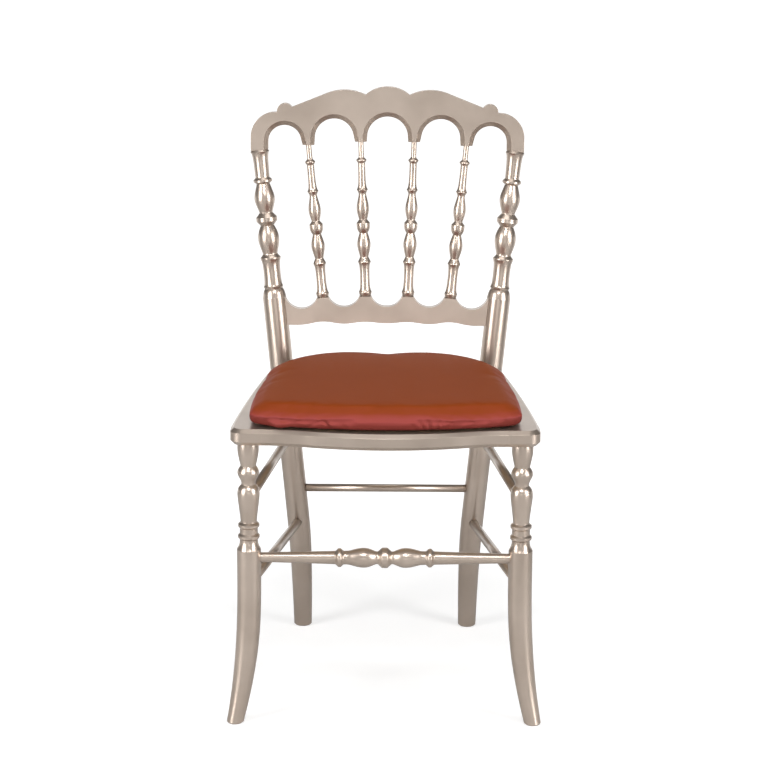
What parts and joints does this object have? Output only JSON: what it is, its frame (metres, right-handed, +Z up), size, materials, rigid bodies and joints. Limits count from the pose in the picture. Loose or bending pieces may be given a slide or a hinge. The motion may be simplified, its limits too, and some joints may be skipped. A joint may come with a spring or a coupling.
{
  "type": "dining chair",
  "caption": "Spindle-back ballroom dining chair in champagne paint, with turned legs, an arcaded crest rail and a loose red satin seat cushion.",
  "frame": {"origin": "on the floor, at the middle of the chair's bounding box in plan", "axes": "+Z up, +Y towards the back of the chair, +X towards the right of someone facing it; the chair is symmetric about the plane x = 0"},
  "size_m": [0.4632, 0.4836, 0.89],
  "materials": {
    "painted_frame": "champagne metallic paint, satin",
    "plywood": "bare, sanded",
    "fastening_tape": "woven hook and loop tape",
    "satin_cover": "changeant red satin"
  },
  "bodies": {
    "chair": {"front_leg_left": "painted_frame", "front_leg_right": "painted_frame", "rear_post_left": "painted_frame", "rear_post_right": "painted_frame", "spindle_inner_left": "painted_frame", "spindle_inner_right": "painted_frame", "spindle_outer_left": "painted_frame", "spindle_outer_right": "painted_frame", "side_stretcher_upper_left": "painted_frame", "side_stretcher_upper_right": "painted_frame", "side_stretcher_lower_left": "painted_frame", "side_stretcher_lower_right": "painted_frame", "seat_side_rail_left": "painted_frame", "seat_side_rail_right": "painted_frame", "crest_rail": "painted_frame", "lower_back_rail": "painted_frame", "front_stretcher": "painted_frame", "rear_stretcher": "painted_frame", "seat_front_rail": "painted_frame", "seat_back_rail": "painted_frame", "seat_panel": "plywood", "hook_strips": "fastening_tape"},
    "cushion": {"loop_strips": "fastening_tape", "cushion_board": "plywood", "cushion_pad": "satin_cover"}
  },
  "joints": [
    {"name": "cushion_lift", "type": "slide", "parent": "chair", "child": "cushion", "axis": [0, 0, 1], "range_m": [0, 0.15]}
  ]
}
